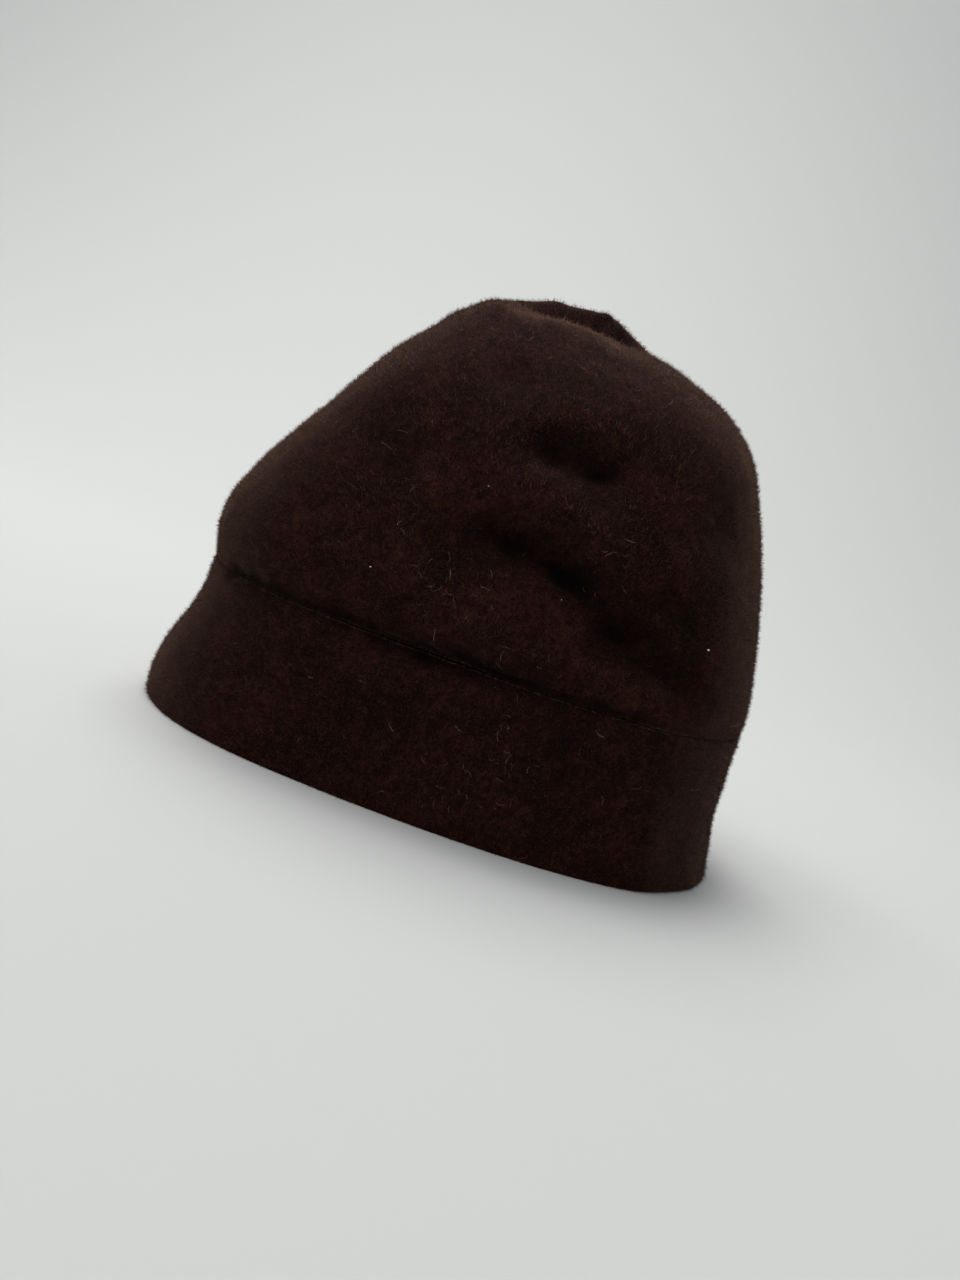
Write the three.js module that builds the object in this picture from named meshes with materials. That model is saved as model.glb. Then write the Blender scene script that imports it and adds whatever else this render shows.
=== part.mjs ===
import * as THREE from 'three';
import { LoftGeometry } from 'three/addons/geometries/LoftGeometry.js';
import { mergeVertices } from 'three/addons/utils/BufferGeometryUtils.js';

// A soft wool felt cloche that stands on its rim: a dented crown and a turned-down brim, sewn edge to edge.
// Millimetres, +Z up. The rim is on z = 0, the front toward -X and the wearer's left toward -Y.
// Angles round the hat start at the back: 90 is the wearer's right, 180 the front and 270 the wearer's left.

// Driving sizes
const headLength = 209; // outside of the crown at the seam, front to back
const headWidth = 170; // the same, side to side
const crownHeight = 132.5; // seam to the top of the higher ridge
const backFullness = 0.1; // how much wider than an oval the hat is behind its middle, and narrower in front
const ridgeHold = 3.4; // how long the two ridges of the crown stay level toward their ends; 2 is an even rise
const squareness = 0.26; // how much fuller than an oval it is at its four quarters
const brimDepthFront = 54.5; // rim to seam at the front
const brimDepthBack = 53.5;
const frontFlare = 10; // how far the brim stands out past the seam
const sideFlare = 3.5;
const backFlare = 5.5;
const feltThickness = 2.5;
const rimRound = 0.5; // radius of the two edges of the cut rim
const seamGap = 0.3; // between the crown's turned edge and the brim's
const seamInturn = 2.5; // how far the two turned edges stand inside the wall
const seamLip = 2; // height of each turned edge there
const crownRoll = 1.2; // radius of the crown's edge as it turns into the seam
const crownRollWide = 2.6; // added where the seam is pulled open on the wearer's left
const brimRoll = 0.8; // radius of the brim's edge as it turns into the seam
const brimProud = 0.7; // how far the brim's top edge stands outside the crown's
const foldWidth = 12; // the usual half-width of a dent in the crown
const foldDepth = 6; // the deepest dent
const fluteDepth = 1.6; // the deepest flute of the brim

// How finely the curved felt is cut into faces
const columns = 80;
const crownOuterRows = 26;
const crownInnerRows = 15;
const brimOuterRows = 8;
const brimInnerRows = 5;
const rollSteps = 3;

// Sections of the crown from the seam to the middle of the hollow in its top. Reaches are shares of half
// the head's length or width, and rises are shares of the crown's height.
const crownSections = [
  { front: 1.005, frontRise: 0, back: 0.99, backRise: 0,
    left: 1, leftRise: 0, right: 1, rightRise: 0 },
  { front: 1.019, frontRise: 0.06, back: 0.995, backRise: 0.06,
    left: 1.012, leftRise: 0.06, right: 1.012, rightRise: 0.06 },
  { front: 1.028, frontRise: 0.115, back: 0.985, backRise: 0.12,
    left: 1.015, leftRise: 0.12, right: 1.02, rightRise: 0.12 },
  { front: 1.008, frontRise: 0.2, back: 0.956, backRise: 0.24,
    left: 1, leftRise: 0.225, right: 1.005, rightRise: 0.225 },
  { front: 0.946, frontRise: 0.305, back: 0.91, backRise: 0.365,
    left: 0.97, leftRise: 0.335, right: 0.97, rightRise: 0.34 },
  { front: 0.843, frontRise: 0.438, back: 0.86, backRise: 0.495,
    left: 0.92, leftRise: 0.465, right: 0.91, rightRise: 0.475 },
  { front: 0.738, frontRise: 0.57, back: 0.796, backRise: 0.625,
    left: 0.845, leftRise: 0.59, right: 0.83, rightRise: 0.61 },
  { front: 0.628, frontRise: 0.7, back: 0.715, backRise: 0.747,
    left: 0.74, leftRise: 0.7, right: 0.72, rightRise: 0.735 },
  { front: 0.523, frontRise: 0.797, back: 0.603, backRise: 0.822,
    left: 0.61, leftRise: 0.777, right: 0.59, rightRise: 0.835 },
  { front: 0.427, frontRise: 0.876, back: 0.468, backRise: 0.872,
    left: 0.47, leftRise: 0.84, right: 0.45, rightRise: 0.915 },
  { front: 0.37, frontRise: 0.928, back: 0.34, backRise: 0.908,
    left: 0.32, leftRise: 0.893, right: 0.32, rightRise: 0.968 },
  { front: 0.29, frontRise: 0.944, back: 0.25, backRise: 0.92,
    left: 0.2, leftRise: 0.915, right: 0.2, rightRise: 0.995 },
  { front: 0.17, frontRise: 0.92, back: 0.14, backRise: 0.9,
    left: 0.11, leftRise: 0.896, right: 0.12, rightRise: 0.945 },
  { front: 0, frontRise: 0.88, back: 0, backRise: 0.88,
    left: 0, leftRise: 0.88, right: 0, rightRise: 0.88 },
];

// Dents of the crown, each a soft groove from one point to another on the left or right of it. Places along
// are shares of half the head's length, places up are shares of the crown's height, and a negative depth
// is a puff.
const crownFolds = [
  { side: -1, along: -0.12, up: 0.38, alongEnd: 0.28, upEnd: 0.29, width: 0.72, depth: 0.8 },
  { side: -1, along: 0.28, up: 0.29, alongEnd: 0.45, upEnd: 0.19, width: 0.8, depth: 1 },
  { side: -1, along: 0.45, up: 0.19, alongEnd: 0.64, upEnd: 0.14, width: 0.65, depth: 0.7 },
  { side: -1, along: -0.01, up: 0.58, alongEnd: 0.25, upEnd: 0.56, width: 0.8, depth: 0.7 },
  { side: -1, along: -0.16, up: 0.73, alongEnd: -0.12, upEnd: 0.72, width: 0.9, depth: 0.4 },
  { side: -1, along: -0.52, up: 0.5, alongEnd: -0.42, upEnd: 0.46, width: 1, depth: 0.35 },
  { side: -1, along: 0.66, up: 0.58, alongEnd: 0.72, upEnd: 0.5, width: 0.9, depth: 0.3 },
  { side: -1, along: 0, up: 0.46, alongEnd: 0.26, upEnd: 0.43, width: 0.7, depth: -0.4 },
  { side: -1, along: -0.05, up: 0.12, alongEnd: 0.58, upEnd: 0.09, width: 0.55, depth: -0.25 },
  { side: 1, along: -0.3, up: 0.48, alongEnd: 0.3, upEnd: 0.36, width: 1.1, depth: 0.55 },
  { side: 1, along: 0.1, up: 0.7, alongEnd: 0.4, upEnd: 0.6, width: 1, depth: 0.4 },
  { side: 1, along: 0.05, up: 1, alongEnd: 0.1, upEnd: 0.99, width: 0.5, depth: -0.22 },
];

// Sections of the brim from the seam to the rim. Drop is a share of the brim's depth there, and the rest
// are shares of the three flares.
const brimSections = [
  { drop: 0, front: 0, side: 0, back: 0 },
  { drop: 0.16, front: 0.02, side: 0.12, back: 0.02 },
  { drop: 0.32, front: 0.17, side: 0.28, back: 0.06 },
  { drop: 0.5, front: 0.52, side: 0.48, back: 0.16 },
  { drop: 0.68, front: 0.86, side: 0.72, back: 0.36 },
  { drop: 0.86, front: 1, side: 0.92, back: 0.78 },
  { drop: 1, front: 0.88, side: 1, back: 0.95 },
];

// Upright flutes and hollows of the brim. Spread is in degrees round the hat, drop and reach are shares of
// the brim's depth, and push is a share of the flute's depth, outward.
const brimFlutes = [
  { angle: 291, spread: 7, drop: 0.25, reach: 0.22, push: -1 },
  { angle: 313, spread: 6, drop: 0.75, reach: 0.4, push: 0.8 },
  { angle: 325, spread: 6, drop: 0.8, reach: 0.35, push: -0.5 },
  { angle: 250, spread: 9, drop: 0.8, reach: 0.35, push: -0.4 },
  { angle: 215, spread: 10, drop: 0.7, reach: 0.4, push: 0.5 },
  { angle: 120, spread: 11, drop: 0.8, reach: 0.4, push: -0.5 },
  { angle: 60, spread: 9, drop: 0.8, reach: 0.4, push: 0.5 },
];

// Where the seam is pulled open, in degrees round the hat; open is a share of the wide roll.
const seamOpenings = [
  { angle: 262, spread: 22, open: 1 },
  { angle: 303, spread: 7, open: 0.4 },
  { angle: 90, spread: 30, open: 0.4 },
];

const bump = (distance, width) => Math.exp(-((distance / width) ** 2));

// Degrees between two places round the hat, the short way
const apart = (a, b) => Math.abs(THREE.MathUtils.euclideanModulo(a - b + 180, 360) - 180);

// A smooth line through two columns of a table
const lineThrough = (table, across, up) =>
  new THREE.SplineCurve(table.map((row) => new THREE.Vector2(row[across], row[up])));

const crownLines = {
  front: lineThrough(crownSections, 'front', 'frontRise'),
  back: lineThrough(crownSections, 'back', 'backRise'),
  left: lineThrough(crownSections, 'left', 'leftRise'),
  right: lineThrough(crownSections, 'right', 'rightRise'),
};
const brimLines = {
  front: lineThrough(brimSections, 'front', 'drop'),
  side: lineThrough(brimSections, 'side', 'drop'),
  back: lineThrough(brimSections, 'back', 'drop'),
};

// The hat's plan against a true oval, where along runs from -1 at the front to 1 at the back
const planWidth = (along) => 1 + backFullness * along + squareness * along ** 2;

const seamHeight = (x) => THREE.MathUtils.lerp(brimDepthFront, brimDepthBack, x / headLength + 0.5);

// The crown's skin before it is dented: round the hat by angle, and from the seam at 0 to the top's middle at 1
function plainCrown(angle, climb) {
  const turn = THREE.MathUtils.degToRad(angle);
  const [along, across] = [Math.cos(turn), Math.sin(turn)];
  const end = (along < 0 ? crownLines.front : crownLines.back).getPoint(climb);
  const side = (across < 0 ? crownLines.left : crownLines.right).getPoint(climb);
  const x = (along * end.x * headLength) / 2;
  const y = (across * planWidth(along) * side.x * headWidth) / 2;
  const rise = THREE.MathUtils.lerp(side.y, end.y, Math.abs(along) ** ridgeHold) * crownHeight;
  return new THREE.Vector3(x, y, seamHeight(x) + rise);
}

// How far the folds push a point of the crown inward
function crownDent(point) {
  const place = new THREE.Vector2(point.x, point.z - seamHeight(point.x));
  let [dent, puff] = [0, 0];
  for (const fold of crownFolds) {
    const from = new THREE.Vector2((fold.along * headLength) / 2, fold.up * crownHeight);
    const to = new THREE.Vector2((fold.alongEnd * headLength) / 2, fold.upEnd * crownHeight);
    const run = to.clone().sub(from);
    const share = THREE.MathUtils.clamp(place.clone().sub(from).dot(run) / run.lengthSq(), 0, 1);
    const distance = place.distanceTo(from.addScaledVector(run, share));
    const onSide = THREE.MathUtils.smoothstep(point.y * fold.side, 0, headWidth / 5);
    const depth = Math.abs(fold.depth) * foldDepth * onSide * bump(distance, fold.width * foldWidth);
    if (fold.depth > 0) dent += depth ** 3;
    else puff += depth ** 3;
  }
  return Math.cbrt(dent) - Math.cbrt(puff);
}

// The brim's skin: round the hat by angle, and from the seam at 0 to the rim at 1
function plainBrim(angle, fall) {
  const turn = THREE.MathUtils.degToRad(angle);
  const [along, across] = [Math.cos(turn), Math.sin(turn)];
  const seam = plainCrown(angle, 0);
  const end = (along < 0 ? brimLines.front : brimLines.back).getPoint(fall);
  const side = brimLines.side.getPoint(fall);
  const flute = brimFlutes.reduce((sum, { angle: at, spread, drop, reach, push }) =>
    sum + push * bump(apart(angle, at), spread) * bump(side.y - drop, reach), 0);
  const outward = outwardFrom(angle).multiplyScalar(brimProud + flute * fluteDepth);
  const x = seam.x + along * end.x * (along < 0 ? frontFlare : backFlare) + outward.x;
  const y = seam.y + across * planWidth(along) * side.x * sideFlare + outward.y;
  return new THREE.Vector3(x, y, seamHeight(seam.x) * (1 - side.y));
}

// The level direction that points away from the hat at the seam
function outwardFrom(angle) {
  const turn = THREE.MathUtils.degToRad(angle);
  return new THREE.Vector3(Math.cos(turn) * headWidth, Math.sin(turn) * headLength, 0).normalize();
}

// The outward direction of a skin at a place, from two short steps along it
function outwardOf(skin, angle, level) {
  const [turn, step] = [0.5, 0.004];
  const round = skin(angle + turn, level).sub(skin(angle - turn, level));
  const up = skin(angle, Math.min(level + step, 1)).sub(skin(angle, Math.max(level - step, 0)));
  return round.cross(up).normalize();
}

function crownSkin(angle, climb) {
  const point = plainCrown(angle, climb);
  if (climb >= 1) return point;
  return point.addScaledVector(outwardOf(plainCrown, angle, climb), -crownDent(point));
}

// One closed line of points round the hat, with what place(angle) gives at each
const ring = (place) => Array.from({ length: columns }, (_, i) => place((-i * 360) / columns));

// Shares from 0 to 1, in even steps
const steps = (count) => Array.from({ length: count + 1 }, (_, i) => i / count);

// The closed solid whose skin runs through the rings in turn
function feltSolid(rings) {
  const loft = new LoftGeometry(rings);
  const places = new THREE.BufferGeometry();
  places.setAttribute('position', loft.getAttribute('position'));
  places.setIndex(loft.index);
  const skin = mergeVertices(places);
  const corners = Array.from(skin.index.array);
  const kept = [];
  for (let i = 0; i < corners.length; i += 3) {
    const face = corners.slice(i, i + 3);
    if (new Set(face).size === 3) kept.push(...face);
  }
  skin.setIndex(kept);
  return skin;
}

const seamPull = (angle) =>
  seamOpenings.reduce((sum, { angle: at, spread, open }) => sum + open * bump(apart(angle, at), spread), 0);

// A level step above the seam as a climb of the crown
const climbOf = (height) => height / (crownSections[1].leftRise * crownHeight) / (crownSections.length - 1);

function crownGeometry() {
  const rollOf = (angle) => crownRoll + crownRollWide * seamPull(angle);
  const nearSeam = (angle, inward, height) => {
    const point = plainCrown(angle, climbOf(height));
    point.z = seamHeight(point.x) + seamGap / 2 + height;
    return point.addScaledVector(outwardFrom(angle), -inward);
  };
  const lip = feltThickness + seamInturn;
  const wallFoot = seamLip + seamInturn;
  const inner = (angle, climb) => {
    const outward = climb < 1 ? outwardOf(crownSkin, angle, climb) : new THREE.Vector3(0, 0, 1);
    return crownSkin(angle, climb).addScaledVector(outward, -feltThickness);
  };
  const outer = (angle, share) => {
    const foot = climbOf(rollOf(angle) + seamGap / 2);
    return crownSkin(angle, THREE.MathUtils.lerp(1, foot, share));
  };
  const roll = (angle, turn) =>
    nearSeam(angle, rollOf(angle) * (1 - Math.cos(turn)), rollOf(angle) * (1 - Math.sin(turn)));
  const rings = [];
  for (const share of steps(crownOuterRows)) {
    rings.push(ring((angle) => outer(angle, share)));
  }
  for (const share of steps(rollSteps).slice(1)) {
    rings.push(ring((angle) => roll(angle, (share * Math.PI) / 2)));
  }
  rings.push(ring((angle) => nearSeam(angle, lip, 0)));
  rings.push(ring((angle) => nearSeam(angle, lip, seamLip)));
  for (const share of steps(crownInnerRows)) {
    rings.push(ring((angle) => inner(angle, THREE.MathUtils.lerp(climbOf(wallFoot), 1, share))));
  }
  return feltSolid(rings);
}

function brimGeometry() {
  const nearSeam = (angle, inward, depth) => {
    const point = plainBrim(angle, 0);
    point.z = seamHeight(plainCrown(angle, 0).x) - seamGap / 2 - depth;
    return point.addScaledVector(outwardFrom(angle), -inward);
  };
  const nearRim = (angle, inward, height) => {
    const point = plainBrim(angle, 1);
    point.z = height;
    return point.addScaledVector(outwardFrom(angle), -inward);
  };
  const lip = feltThickness + seamInturn + brimProud;
  const fallOf = (angle, depth) => depth / seamHeight(plainCrown(angle, 0).x);
  const wall = (angle, depthFrom, heightTo, share, inward) => {
    const from = fallOf(angle, depthFrom);
    const to = 1 - fallOf(angle, heightTo);
    const fall = THREE.MathUtils.lerp(from, to, share);
    return plainBrim(angle, fall).addScaledVector(outwardFrom(angle), -inward);
  };
  const roll = (angle, turn) =>
    nearSeam(angle, brimRoll * (1 - Math.cos(turn)), brimRoll * (1 - Math.sin(turn)));
  const rings = [ring((angle) => nearSeam(angle, lip, 0))];
  for (const share of steps(rollSteps)) {
    rings.push(ring((angle) => roll(angle, ((1 - share) * Math.PI) / 2)));
  }
  for (const share of steps(brimOuterRows).slice(1)) {
    rings.push(ring((angle) => wall(angle, brimRoll, rimRound, share, 0)));
  }
  rings.push(ring((angle) => nearRim(angle, rimRound, 0)));
  rings.push(ring((angle) => nearRim(angle, feltThickness - rimRound, 0)));
  for (const share of steps(brimInnerRows)) {
    rings.push(ring((angle) => wall(angle, seamLip + seamInturn, rimRound, 1 - share, feltThickness)));
  }
  rings.push(ring((angle) => nearSeam(angle, lip, seamLip)));
  rings.push(rings[0]);
  return feltSolid(rings);
}

// Dark brown wool felt, dry and without shine
const felt = (color) => new THREE.MeshStandardMaterial({ color, roughness: 0.95, metalness: 0 });

function feltPiece(name, geometry, color) {
  const mesh = new THREE.Mesh(geometry, felt(color));
  mesh.name = name;
  return mesh;
}

const hat = new THREE.Group();
hat.add(feltPiece('crown', crownGeometry(), 0x2a1a16));
hat.add(feltPiece('brim', brimGeometry(), 0x281814));

// The origin lies on the rim's plane under the middle of the whole hat.
const middle = new THREE.Box3().setFromObject(hat).getCenter(new THREE.Vector3());
hat.position.set(-middle.x, -middle.y, 0);

export default hat;
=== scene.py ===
import math
import bmesh
import bpy
from mathutils import Matrix, Vector, noise


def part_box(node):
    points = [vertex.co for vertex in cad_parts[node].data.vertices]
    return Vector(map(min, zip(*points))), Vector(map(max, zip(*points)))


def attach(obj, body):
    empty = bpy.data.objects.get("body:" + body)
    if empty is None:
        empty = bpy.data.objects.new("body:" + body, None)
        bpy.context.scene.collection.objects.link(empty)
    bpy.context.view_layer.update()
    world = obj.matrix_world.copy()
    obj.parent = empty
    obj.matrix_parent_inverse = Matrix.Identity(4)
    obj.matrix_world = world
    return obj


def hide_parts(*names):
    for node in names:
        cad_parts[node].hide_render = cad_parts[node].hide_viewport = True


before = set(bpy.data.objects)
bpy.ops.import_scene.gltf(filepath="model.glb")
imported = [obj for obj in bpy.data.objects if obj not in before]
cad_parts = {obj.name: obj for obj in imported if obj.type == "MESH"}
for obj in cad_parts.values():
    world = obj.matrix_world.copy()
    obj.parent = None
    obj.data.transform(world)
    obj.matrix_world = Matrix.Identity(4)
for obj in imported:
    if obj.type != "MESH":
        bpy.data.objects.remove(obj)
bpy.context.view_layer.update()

# A soft brown wool felt cloche that stands on its rim, seen from the wearer's left. The front is toward -X
# and the wearer's left toward -Y. Lengths are in metres, or in millimetres where a comment says so.
crownLow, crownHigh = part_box("crown")
brimLow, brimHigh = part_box("brim")
hatHeight = crownHigh.z - brimLow.z
seamMiddle = (crownLow.z + brimHigh.z) / 2
mm = 0.001


def srgb(code):  # a hex colour such as "2a1a16" as the linear colour that nodes take
    parts = [int(code[i:i + 2], 16) / 255 for i in (0, 2, 4)]
    return [*[p / 12.92 if p <= 0.04045 else ((p + 0.055) / 1.055) ** 2.4 for p in parts], 1.0]


def addNode(tree, kind, settings=None, inputs=None):  # a node with its settings, its values and its links
    node = tree.nodes.new(kind)
    for name, value in (settings or {}).items():
        setattr(node, name, value)
    for name, value in (inputs or {}).items():
        if isinstance(value, bpy.types.NodeSocket):
            tree.links.new(value, node.inputs[name])
        else:
            node.inputs[name].default_value = value
    return node


def newMaterial(name):
    material = bpy.data.materials.new(name)
    material.use_nodes = True
    material.node_tree.nodes.clear()
    return material, material.node_tree


def mattMaterial(name, code, roughness):
    material, tree = newMaterial(name)
    shader = addNode(tree, "ShaderNodeBsdfPrincipled", None, {
        "Base Color": srgb(code), "Roughness": roughness})
    addNode(tree, "ShaderNodeOutputMaterial", None, {"Surface": shader.outputs[0]})
    return material


def newPiece(name, mesh, material):
    piece = bpy.data.objects.new(name, mesh)
    bpy.context.scene.collection.objects.link(piece)
    piece.data.materials.clear()
    piece.data.materials.append(material)
    return piece


def settledMesh(piece):  # the piece's mesh with its modifiers applied
    layer = bpy.context.evaluated_depsgraph_get()
    return bpy.data.meshes.new_from_object(piece.evaluated_get(layer), depsgraph=layer)


# Camera at the photograph's angle: a little above level, and rolled because the hat there is tipped back
cameraPlan = {
    "aim": Vector((3.1 * mm, 0, 50.5 * mm)),
    "distance": 538 * mm,
    "elevation": math.radians(7),
    "roll": math.radians(18.7),
    "photoPixels": 1280,  # the photograph's height
    "focalPixels": 1400,
    "shiftPixels": (4, 10),
    "sensor": 36,  # in millimetres
    "nearest": 10 * mm,
}


def makeCamera(plan):
    data = bpy.data.cameras.new("camera")
    data.sensor_width = plan["sensor"]
    data.lens = plan["focalPixels"] / plan["photoPixels"] * plan["sensor"]
    data.shift_x, data.shift_y = [pixels / plan["photoPixels"] for pixels in plan["shiftPixels"]]
    data.clip_start = plan["nearest"]
    camera = bpy.data.objects.new("camera", data)
    bpy.context.scene.collection.objects.link(camera)
    back = Vector((0, -math.cos(plan["elevation"]), math.sin(plan["elevation"])))
    camera.location = plan["aim"] + back * plan["distance"]
    turn = (-back).to_track_quat("-Z", "Y").to_matrix().to_4x4()
    camera.rotation_euler = (turn @ Matrix.Rotation(plan["roll"], 4, "Z")).to_euler()
    bpy.context.scene.camera = camera


makeCamera(cameraPlan)
print("camera done")

# Pale studio: one floor that curves up into a wall, with soft lights from above and from the camera's side
studioPlan = {
    "floorWidth": 6.0,
    "floorDepth": 4.8,
    "floorForward": 0.96,  # the floor's middle lies this far toward the camera
    "wallHeight": 4.0,
    "curve": 0.9,
    "curveSteps": 24,
    "paper": "c3c6c5",
    "paperRoughness": 0.95,
    "worldColor": "e8ecf4",
    "worldStrength": 0.22,
    "lightColor": "fffcfa",
    "lights": [
        {"name": "overhead", "at": (-0.5, -0.02, 1.45), "size": 1.0, "power": 14},
        {"name": "wallWash", "at": (-0.15, 0.9, 1.9), "size": 1.2, "power": 30},
        {"name": "fill", "at": (0.1, -1.4, 0.1), "size": 0.9, "power": 7.2},
    ],
}


def makeStudio(plan):
    bm = bmesh.new()
    bmesh.ops.create_grid(bm, x_segments=1, y_segments=1, size=0.5)
    bmesh.ops.scale(bm, vec=(plan["floorWidth"], plan["floorDepth"], 1), verts=bm.verts)
    bmesh.ops.translate(bm, vec=(0, -plan["floorForward"], 0), verts=bm.verts)
    farthest = max(v.co.y for v in bm.verts)
    farEdge = [e for e in bm.edges if all(abs(v.co.y - farthest) < mm for v in e.verts)]
    extruded = bmesh.ops.extrude_edge_only(bm, edges=farEdge)["geom"]
    wallTop = [part for part in extruded if isinstance(part, bmesh.types.BMVert)]
    bmesh.ops.translate(bm, vec=(0, 0, plan["wallHeight"]), verts=wallTop)
    corner = [e for e in bm.edges if all(abs(v.co.y - farthest) < mm and v.co.z < mm for v in e.verts)]
    bmesh.ops.bevel(bm, geom=corner, offset=plan["curve"], segments=plan["curveSteps"], profile=0.5,
                    affect="EDGES", material=-1)
    mesh = bpy.data.meshes.new("paperSweep")
    bm.to_mesh(mesh)
    bm.free()
    # Matt pale paper, which the light grades from the floor up into the wall
    sweep = newPiece("paperSweep", mesh, mattMaterial("mattPaper", plan["paper"], plan["paperRoughness"]))
    for face in mesh.polygons:
        face.use_smooth = True
    world = bpy.data.worlds.new("studioAir")
    world.use_nodes = True
    air = world.node_tree.nodes["Background"]
    air.inputs["Color"].default_value = srgb(plan["worldColor"])
    air.inputs["Strength"].default_value = plan["worldStrength"]
    bpy.context.scene.world = world
    middle = Vector((0, 0, hatHeight / 2))
    for each in plan["lights"]:
        data = bpy.data.lights.new(each["name"], "AREA")
        data.size = each["size"]
        data.energy = each["power"]
        data.color = srgb(plan["lightColor"])[:3]
        light = bpy.data.objects.new(each["name"], data)
        light.location = each["at"]
        light.rotation_euler = (middle - light.location).to_track_quat("-Z", "Y").to_euler()
        bpy.context.scene.collection.objects.link(light)


makeStudio(studioPlan)
bpy.context.scene.view_settings.view_transform = "Standard"
print("studio done")

# Wool felt: matted wool with no shine of its own, dark brown, with a pale sheen at grazing angles
# where its fibres stand up, and soft blotches where the nap lies another way
feltPlan = {
    "tones": [(0.4, "130707"), (0.5, "1e0d0c"), (0.6, "361b17")],  # from deep to raised
    "paintedCreaseShade": "090403",  # painted shade in the creases
    "paintedFoldHighlight": "5e453b",  # painted highlight along the fold on the top
    "sheen": 0.44,
    "sheenRoughness": 0.22,
    "sheenTint": "c4a08c",
    "roughness": 0.95,
    "specular": 0.05,
    "blotch": 26 * mm,
    "mottle": 5 * mm,
    "mottleShare": 0.5,
    "clump": 1.3 * mm,
    "clumpShare": 0.45,
    "fibre": 0.45 * mm,
    "fibreShare": 0.5,
    "grain": {"Detail": 4.0, "Roughness": 0.6, "Distortion": 0.6},
    "bumpDepth": 0.6 * mm,
}


def mixValues(tree, share, first, second):
    return addNode(tree, "ShaderNodeMix", {"data_type": "FLOAT"}, {0: share, 2: first, 3: second}).outputs[0]


def mixColors(tree, share, first, second):
    return addNode(tree, "ShaderNodeMix", {"data_type": "RGBA"}, {0: share, 6: first, 7: second}).outputs[2]


def toneRamp(tree, value, tones):  # a ramp through hex colours at rising positions
    ramp = addNode(tree, "ShaderNodeValToRGB", None, {"Fac": value})
    stops = ramp.color_ramp.elements
    stops[0].position, stops[1].position = tones[0][0], tones[-1][0]
    for position, _ in tones[1:-1]:
        stops.new(position)
    for stop, (_, code) in zip(stops, tones):
        stop.color = srgb(code)
    return ramp.outputs["Color"]


def markOf(tree, name):  # one of the marks that feltShell puts on its points
    return addNode(tree, "ShaderNodeAttribute", {"attribute_name": name}).outputs["Fac"]


def paintedShadeAndHighlight(tree, plan, fresh):  # painted shade: darker in the creases; painted highlight: paler along the fold on the top
    paintedCreaseShade = mixColors(tree, markOf(tree, "hollow"), fresh, srgb(plan["paintedCreaseShade"]))
    return mixColors(tree, markOf(tree, "onFold"), paintedCreaseShade, srgb(plan["paintedFoldHighlight"]))


def woolFelt(name, plan):
    material, tree = newMaterial(name)
    place = addNode(tree, "ShaderNodeTexCoord").outputs["Object"]
    sizes = {}
    for part in ("blotch", "mottle", "clump", "fibre"):
        wool = addNode(tree, "ShaderNodeTexNoise", None, {
            "Vector": place, "Scale": 1 / plan[part], **plan["grain"]})
        sizes[part] = wool.outputs["Fac"]
    broad = mixValues(tree, plan["mottleShare"], sizes["blotch"], sizes["mottle"])
    tone = mixValues(tree, plan["clumpShare"], broad, sizes["clump"])
    # the felt's colour gets painted shade in the creases and a painted highlight along the fold on the top
    color = paintedShadeAndHighlight(tree, plan, toneRamp(tree, tone, plan["tones"]))
    height = mixValues(tree, plan["fibreShare"], sizes["clump"], sizes["fibre"])
    bump = addNode(tree, "ShaderNodeBump", None, {
        "Strength": 1.0, "Distance": plan["bumpDepth"], "Height": height})
    shader = addNode(tree, "ShaderNodeBsdfPrincipled", None, {
        "Base Color": color, "Normal": bump.outputs[0], "Roughness": plan["roughness"],
        "Sheen Weight": plan["sheen"], "Sheen Roughness": plan["sheenRoughness"],
        "Sheen Tint": srgb(plan["sheenTint"]), "Specular IOR Level": plan["specular"]})
    addNode(tree, "ShaderNodeOutputMaterial", None, {"Surface": shader.outputs[0]})
    return material


felt = woolFelt("woolFelt", feltPlan)
print("felt done")

# The two felt shells: smooth copies of the crown and the brim, with the small creases, puffs and crumples
# that wear has left in the soft cloth
shellPlan = {
    "weld": 0.002 * mm,
    "faceAngle": math.radians(50),  # the most that two triangles joined into one face may differ
    "shapeAngle": math.radians(60),
    "levels": 2,
    "crumples": [
        {"size": 34 * mm, "depth": 1.0 * mm, "seed": 3},
        {"size": 13 * mm, "depth": 0.45 * mm, "seed": 11},
        {"size": 5 * mm, "depth": 0.16 * mm, "seed": 23},
    ],
    "flatBelow": 4 * mm,  # the rim stays level where it rests
    "heart": Vector((3 * mm, 0, 55 * mm)),  # the felt moves out from here, both faces of a wall together
    "hollowFull": 3.5 * mm,  # a crease this deep gets the full painted shade
    "seamReach": 3.5 * mm,  # more nap grows about this near the seam
    "napRoom": 0.6 * mm,  # the felt lies this far in, because its nap fills the rest of the thickness
    # The soft fold along the near side of the top, where a paler colour is painted on as a highlight. Its
    # points and its reach are in millimetres.
    "fold": {
        "through": [(-20, -21, 175), (-1, -23, 175), (14, -24, 173), (30, -24, 167), (48, -21, 156)],
        "reach": 6, "much": 0.36, "breaks": 0.7, "breakSize": 6 * mm},
    # Places where hairs have worked loose: x, y, z and reach in millimetres
    "rubbed": [
        (32, -80, 103, 8), (-12, -81, 76, 12), (20, -83, 63, 7), (24, -88, 30, 10), (7, -90, 15, 7),
        (49, -82, 44, 6), (-15, -47, 157, 3), (-20, 78, 95, 9), (40, 78, 40, 9)],
}

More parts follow.
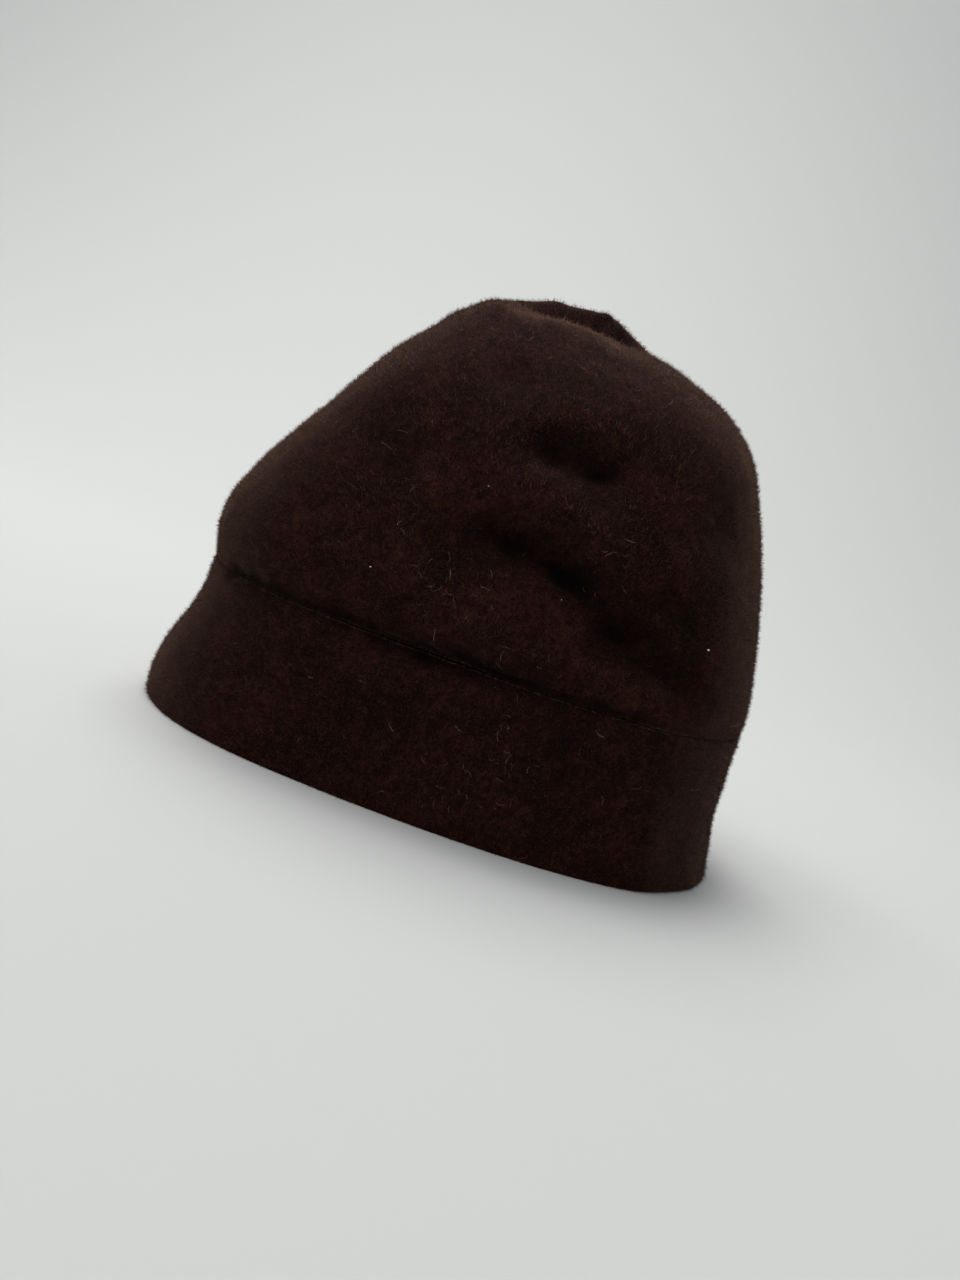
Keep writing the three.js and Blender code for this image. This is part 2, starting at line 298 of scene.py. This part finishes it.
# Each crease runs through its points: x and z on a side of the hat, x and y on its top. The points, the
# width and the depth are in millimetres, and a negative depth is a puff.
creases = [
    {"on": "left", "through": [(-5, 100), (10, 97), (26, 94)], "width": 6, "depth": 3.2},
    {"on": "left", "through": [(30, 91), (38, 87), (47, 80)], "width": 6.5, "depth": 0.9},
    {"on": "left", "through": [(46, 80), (58, 75), (70, 70)], "width": 9, "depth": 2.0},
    {"on": "left", "through": [(7, 131), (15, 131), (24, 129)], "width": 6.5, "depth": 2.6},
    {"on": "left", "through": [(29, 124), (33, 122)], "width": 5, "depth": -0.9},
    {"on": "left", "through": [(4, 118), (14, 116), (28, 111)], "width": 6, "depth": -1.7},
    {"on": "left", "through": [(-8, 66), (20, 67), (45, 67), (66, 64)], "width": 5, "depth": -1.0},
    {"on": "left", "through": [(-30, 112), (-15, 108)], "width": 7, "depth": -0.8},
    {"on": "left", "through": [(-16, 150), (-11, 149)], "width": 6, "depth": 0.9},
    {"on": "left", "through": [(-48, 117), (-44, 114)], "width": 8, "depth": 1.1},
    {"on": "left", "through": [(-26, 96), (-10, 88)], "width": 6, "depth": 0.6},
    {"on": "left", "through": [(64, 134), (67, 126)], "width": 8, "depth": 1.0},
    {"on": "left", "through": [(38, 142), (42, 139)], "width": 7, "depth": 0.8},
    {"on": "left", "through": [(58, 97), (66, 92)], "width": 7, "depth": 1.5},
    {"on": "left", "through": [(-72, 84), (-50, 78)], "width": 8, "depth": -0.8},
    {"on": "left", "through": [(-86, 56), (-38, 56)], "width": 3.2, "depth": 2.3},
    {"on": "left", "through": [(-31, 56), (14, 56)], "width": 3.8, "depth": 3.1},
    {"on": "left", "through": [(18, 56), (60, 56)], "width": 2.5, "depth": 2.2},
    {"on": "left", "through": [(41, 42), (45, 35)], "width": 5, "depth": 1.0},
    {"on": "left", "through": [(72, 30), (74, 8)], "width": 6, "depth": -1.0},
    {"on": "left", "through": [(-20, 30), (4, 22)], "width": 9, "depth": 0.6},
    {"on": "right", "through": [(-40, 110), (-8, 100), (26, 96)], "width": 8, "depth": 2.2},
    {"on": "right", "through": [(6, 128), (40, 118)], "width": 7, "depth": 1.5},
    {"on": "right", "through": [(-30, 96), (20, 84)], "width": 6, "depth": -1.2},
    {"on": "right", "through": [(30, 80), (60, 74)], "width": 7, "depth": 1.2},
    {"on": "right", "through": [(-60, 56), (60, 56)], "width": 2, "depth": 0.8},
    {"on": "right", "through": [(-40, 34), (-36, 12)], "width": 6, "depth": 0.9},
    {"on": "top", "through": [(11, 3), (10, 13)], "width": 2.8, "depth": -2.4},
    {"on": "top", "through": [(17, 3), (18, 12)], "width": 3.2, "depth": 1.4},
    {"on": "top", "through": [(-8, 20), (11, 20)], "width": 7, "depth": -2.3},
    {"on": "top", "through": [(-5, -23), (8, -23)], "width": 8, "depth": -2.2},
    {"on": "top", "through": [(-46, -8), (-44, 4)], "width": 6, "depth": -1.5},
    {"on": "top", "through": [(-34, -10), (-31, 6)], "width": 6, "depth": 1.1},
]
creasePlan = {
    "wander": 2.6,  # creases in cloth waver by up to about this many millimetres
    "fade": 0.4,  # and grow deeper and shallower by up to about this share
    "wanderSize": 9 * mm,  # from one place to the next, this far apart
    "fadeShift": Vector((5, 5, 5)),
    "widths": 3,  # a crease is gone at this many of its widths
    "sideOver": 20 * mm,  # one on a side runs out over this width before the hat's middle
    "topFrom": 0.8,  # one on the top starts at this share of the hat's height
    "topOver": 0.1,
}


def bell(away, reach):  # 1 in the middle and next to nothing at twice the reach
    return math.exp(-((away / reach) ** 2))


def awayFrom(place, through):  # how far a place is from the line through some points
    nearest = math.inf
    stops = [Vector(stop) for stop in through]
    for a, b in zip(stops, stops[1:]):
        run = b - a
        along = min(max((place - a).dot(run) / run.length_squared, 0.0), 1.0)
        nearest = min(nearest, (place - a - run * along).length)
    return nearest


def creaseDepth(point, crease, plan):
    if crease["on"] == "top":
        share = min(max((point.z / hatHeight - plan["topFrom"]) / plan["topOver"], 0.0), 1.0)
        place = Vector((point.x, point.y)) / mm
    else:
        side = -point.y if crease["on"] == "left" else point.y
        share = min(max(side / plan["sideOver"], 0.0), 1.0)
        place = Vector((point.x, point.z)) / mm
    if share == 0:
        return 0.0
    nearest = awayFrom(place, crease["through"])
    if nearest > plan["widths"] * crease["width"]:
        return 0.0
    wander = plan["wander"] * noise.noise(point / plan["wanderSize"])
    fade = 1 + plan["fade"] * noise.noise(point / plan["wanderSize"] + plan["fadeShift"])
    return share * fade * crease["depth"] * mm * bell(max(nearest + wander, 0.0), crease["width"])


def crumpleOf(point, plan):
    total = 0.0
    for layer in plan["crumples"]:
        at = point / layer["size"] + Vector((layer["seed"], layer["seed"] * 2, 0))
        total += noise.noise(at) * layer["depth"]
    return total


def feltShell(nodeName, pieceName, plan):
    bm = bmesh.new()
    bm.from_mesh(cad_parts[nodeName].data)
    bmesh.ops.remove_doubles(bm, verts=bm.verts, dist=plan["weld"])
    bmesh.ops.join_triangles(bm, faces=bm.faces, angle_face_threshold=plan["faceAngle"],
                             angle_shape_threshold=plan["shapeAngle"])
    mesh = bpy.data.meshes.new(pieceName)
    bm.to_mesh(mesh)
    bm.free()
    rough = newPiece(pieceName + "Rough", mesh, felt)
    smooth = rough.modifiers.new("smooth", "SUBSURF")
    smooth.levels = smooth.render_levels = plan["levels"]
    shell = newPiece(pieceName, settledMesh(rough), felt)
    bpy.data.objects.remove(rough)
    names = ("hollow", "nearSeam", "rubbed", "onFold")
    for name in names:
        shell.data.attributes.new(name, "FLOAT", "POINT")
    hollow, nearSeam, rubbed, onFold = [shell.data.attributes[name] for name in names]
    fold = plan["fold"]
    for index, vertex in enumerate(shell.data.vertices):
        point = vertex.co.copy()
        dent = sum(creaseDepth(point, crease, creasePlan) for crease in creases)
        # hollow: how deep the creases are here, which sets the painted shade in the colour
        hollow.data[index].value = min(max(dent / plan["hollowFull"], -1), 1)
        nearSeam.data[index].value = bell(abs(point.z - seamMiddle), plan["seamReach"])
        rubbed.data[index].value = sum(
            bell((point / mm - Vector(place)).length, reach) for *place, reach in plan["rubbed"])
        # onFold: how much painted highlight the fold on the top gets here
        breaks = 1 + fold["breaks"] * noise.noise(point / fold["breakSize"])
        fromFold = awayFrom(point / mm, fold["through"])
        onFold.data[index].value = fold["much"] * breaks * bell(fromFold, fold["reach"])
        away = point - plan["heart"]
        outward = Vector((away.x, away.y, max(away.z, 0))).normalized()
        settle = min(point.z / plan["flatBelow"], 1)
        vertex.co += outward * (crumpleOf(point, plan) - dent - plan["napRoom"]) * settle
        vertex.co.z = max(vertex.co.z, 0)
    outside = shell.data.attributes.new("outside", "BOOLEAN", "FACE")
    for face in shell.data.polygons:
        face.use_smooth = True
        outside.data[face.index].value = face.normal.dot(face.center - plan["heart"]) > 0
    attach(shell, "root")
    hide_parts(nodeName)
    return shell


crownFelt = feltShell("crown", "crownFelt", shellPlan)
brimFelt = feltShell("brim", "brimFelt", shellPlan)
print("shells done:", len(crownFelt.data.polygons) + len(brimFelt.data.polygons), "faces")

# The nap: short wool fibres that lie over the felt. A real fibre is about 0.03 mm thick, too fine to
# show here, so each one drawn stands for a few that lie together.
napPlan = {
    "length": 2.1 * mm,
    "width": 0.18 * mm,
    "leanLow": math.radians(34),
    "leanHigh": math.radians(86),
    "shortest": 0.45,
    "longest": 1.3,
    "perSquareMm": 2.4,
    "thickAt": "nearSeam",  # the mark that says where more of them grow
    "extra": 0.3,  # and how many more, as a share
    "tones": [(0.4, "1f0e0c"), (0.72, "432a23")],
    # painted shade in the creases and a painted highlight along the fold on the top, as on the felt
    "paintedCreaseShade": "0b0504",
    "paintedFoldHighlight": "7e6152",
    "throughColor": "8a6c5a",
    "seenThrough": 0.35,
    "clump": 3 * mm,
    "detail": 4.0,
    "roughness": 0.85,
    "specular": 0.05,
    "seeds": {"crownNap": 41, "brimNap": 57},
}
fibreFloor = 0.05 * mm  # no fibre comes nearer the floor than this


def napFibre(plan):  # one long thin face that stands on its root and tapers to its tip
    bm = bmesh.new()
    root = [bm.verts.new((side * plan["width"] / 2, 0, 0)) for side in (-1, 1)]
    bm.faces.new((*root, bm.verts.new((0, 0, plan["length"]))))
    mesh = bpy.data.meshes.new("fibre")
    bm.to_mesh(mesh)
    bm.free()
    return mesh


def woolFibre(name, plan):
    # Loose wool fibre: the felt's own brown, some of it paler where the light comes through it
    material, tree = newMaterial(name)
    place = addNode(tree, "ShaderNodeTexCoord").outputs["Object"]
    tone = addNode(tree, "ShaderNodeTexNoise", None, {
        "Vector": place, "Scale": 1 / plan["clump"], "Detail": plan["detail"]}).outputs["Fac"]
    # the fibres' colour gets painted shade in the creases and a painted highlight along the fold on the top
    color = paintedShadeAndHighlight(tree, plan, toneRamp(tree, tone, plan["tones"]))
    shader = addNode(tree, "ShaderNodeBsdfPrincipled", None, {
        "Base Color": color, "Roughness": plan["roughness"], "Specular IOR Level": plan["specular"]})
    # the light through the fibre is painted darker in the creases, as painted shade
    shaded = mixColors(tree, markOf(tree, "hollow"), srgb(plan["throughColor"]), srgb(plan["paintedCreaseShade"]))
    through = addNode(tree, "ShaderNodeBsdfTranslucent", None, {"Color": shaded})
    both = addNode(tree, "ShaderNodeMixShader", None, {
        0: plan["seenThrough"], 1: shader.outputs[0], 2: through.outputs[0]})
    addNode(tree, "ShaderNodeOutputMaterial", None, {"Surface": both.outputs[0]})
    return material


def fibresOver(shell, name, fibreMesh, material, plan, seed):  # fibres rooted at random on its outside
    template = newPiece(name + "Template", fibreMesh, material)
    tree = bpy.data.node_groups.new(name + "Nodes", "GeometryNodeTree")
    tree.interface.new_socket("Geometry", in_out="INPUT", socket_type="NodeSocketGeometry")
    tree.interface.new_socket("Geometry", in_out="OUTPUT", socket_type="NodeSocketGeometry")
    skin = addNode(tree, "NodeGroupInput").outputs[0]
    outside = addNode(tree, "GeometryNodeInputNamedAttribute", {"data_type": "BOOLEAN"}, {"Name": "outside"})
    where = addNode(tree, "GeometryNodeInputNamedAttribute", {"data_type": "FLOAT"}, {
        "Name": plan["thickAt"]})
    thicker = addNode(tree, "ShaderNodeMath", {"operation": "MULTIPLY_ADD"}, {
        0: where.outputs["Attribute"], 1: plan["perSquareMm"] * plan["extra"] / mm ** 2,
        2: plan["perSquareMm"] / mm ** 2})
    roots = addNode(tree, "GeometryNodeDistributePointsOnFaces", {"distribute_method": "RANDOM"}, {
        "Mesh": skin, "Selection": outside.outputs["Attribute"], "Density": thicker.outputs[0], "Seed": seed})
    lean = addNode(tree, "FunctionNodeRandomValue", {"data_type": "FLOAT_VECTOR"}, {
        0: (plan["leanLow"], 0, -math.pi), 1: (plan["leanHigh"], 0, math.pi), "Seed": seed + 1})
    turn = addNode(tree, "FunctionNodeEulerToRotation", None, {0: lean.outputs[0]})
    stand = addNode(tree, "FunctionNodeRotateRotation", {"rotation_space": "LOCAL"}, {
        0: roots.outputs["Rotation"], 1: turn.outputs[0]})
    size = addNode(tree, "FunctionNodeRandomValue", {"data_type": "FLOAT"}, {
        2: plan["shortest"], 3: plan["longest"], "Seed": seed + 2})
    fibre = addNode(tree, "GeometryNodeObjectInfo", None, {"Object": template})
    placed = addNode(tree, "GeometryNodeInstanceOnPoints", None, {
        "Points": roots.outputs["Points"], "Instance": fibre.outputs["Geometry"],
        "Rotation": stand.outputs[0], "Scale": size.outputs[1]})
    joined = addNode(tree, "GeometryNodeRealizeInstances", None, {"Geometry": placed.outputs[0]})
    place = addNode(tree, "GeometryNodeInputPosition").outputs[0]
    apart = addNode(tree, "ShaderNodeSeparateXYZ", None, {0: place}).outputs
    above = addNode(tree, "ShaderNodeMath", {"operation": "MAXIMUM"}, {0: apart[2], 1: fibreFloor}).outputs[0]
    kept = addNode(tree, "ShaderNodeCombineXYZ", None, {0: apart[0], 1: apart[1], 2: above}).outputs[0]
    settled = addNode(tree, "GeometryNodeSetPosition", None, {
        "Geometry": joined.outputs[0], "Position": kept})
    addNode(tree, "NodeGroupOutput", None, {0: settled.outputs[0]})
    base = newPiece(name + "Base", shell.data.copy(), material)
    base.modifiers.new("fibres", "NODES").node_group = tree
    fuzz = newPiece(name, settledMesh(base), material)
    bpy.data.objects.remove(base)
    bpy.data.objects.remove(template)
    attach(fuzz, "root")
    print(name, "has", len(fuzz.data.polygons), "faces")


fibreWool = woolFibre("woolFibre", napPlan)
for shell, name in ((crownFelt, "crownNap"), (brimFelt, "brimNap")):
    fibresOver(shell, name, napFibre(napPlan), fibreWool, napPlan, napPlan["seeds"][name])
print("nap done")

# Stray hairs: single long fibres that have worked loose and lie curled on the nap, and a few specks of lint
strayPlan = {
    "curls": [(1.5 * mm, 95), (3.2 * mm, 60), (9 * mm, 24)],  # radius and degrees
    "width": 0.085 * mm,
    "lift": 1.3 * mm,
    "steps": 6,
    "leanLow": 0.0,
    "leanHigh": math.radians(40),
    "shortest": 0.4,
    "longest": 1.2,
    "perSquareMm": 0.0007,
    "thickAt": "rubbed",
    "extra": 34.0,
    "tones": [(0.4, "6a5449"), (0.72, "ab9687")],
    # painted shade in the creases and a painted highlight along the fold on the top, as on the felt
    "paintedCreaseShade": "6a5449",
    "paintedFoldHighlight": "ab9687",
    "throughColor": "9c8778",
    "seenThrough": 0.3,
    "clump": 4 * mm,
    "detail": 4.0,
    "roughness": 0.85,
    "specular": 0.2,
    "seed": 71,
}
lintPlan = {
    "lift": 0.9 * mm,
    "squash": 0.6,
    "color": "d8d2ca",
    "roughness": 0.9,
    # x, y, z and size in millimetres
    "places": [(-38, -79, 75, 0.36), (-10, -76, 112, 0.24), (76, -70, 84, 0.5), (24, -83, 85, 0.2),
               (-52, 70, 90, 0.3), (30, 80, 30, 0.4), (14, 62, 140, 0.25), (-90, 30, 24, 0.3)],
}


def strayHair(plan, curl):  # an arc of flat ribbon that starts on the nap and lifts a little toward its tip
    radius, degrees = curl
    bm = bmesh.new()
    start = [bm.verts.new((side * plan["width"] / 2, 0, 0)) for side in (-1, 1)]
    edge = bm.edges.new(start)
    bmesh.ops.spin(bm, geom=[*start, edge], cent=(-radius, 0, 0), axis=(0, 0, 1), angle=math.radians(degrees),
                   dvec=(0, 0, plan["lift"] / plan["steps"]), steps=plan["steps"])
    mesh = bpy.data.meshes.new("stray")
    bm.to_mesh(mesh)
    bm.free()
    return mesh


def makeLint(plan, skins):
    bm = bmesh.new()
    for *spot, size in plan["places"]:
        place = Vector(spot) * mm
        near = [skin.closest_point_on_mesh(place) for skin in skins]
        _, at, normal, _ = min(near, key=lambda found: (found[1] - place).length)
        speck = bmesh.ops.create_icosphere(bm, subdivisions=1, radius=size * mm)["verts"]
        bmesh.ops.scale(bm, vec=(1, plan["squash"], plan["squash"]), verts=speck)
        bmesh.ops.translate(bm, vec=at + normal * plan["lift"], verts=speck)
    mesh = bpy.data.meshes.new("lint")
    bm.to_mesh(mesh)
    bm.free()
    # Lint: white cotton dust caught in the wool
    lint = newPiece("lint", mesh, mattMaterial("cottonLint", plan["color"], plan["roughness"]))
    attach(lint, "root")


strayWool = woolFibre("strayWool", strayPlan)
for number, curl in enumerate(strayPlan["curls"]):
    for shell, name in ((crownFelt, "crownStrays"), (brimFelt, "brimStrays")):
        fibresOver(shell, name + str(number + 1), strayHair(strayPlan, curl), strayWool, strayPlan,
                   strayPlan["seed"] + number)
makeLint(lintPlan, (crownFelt, brimFelt))
print("stray hairs and lint done")
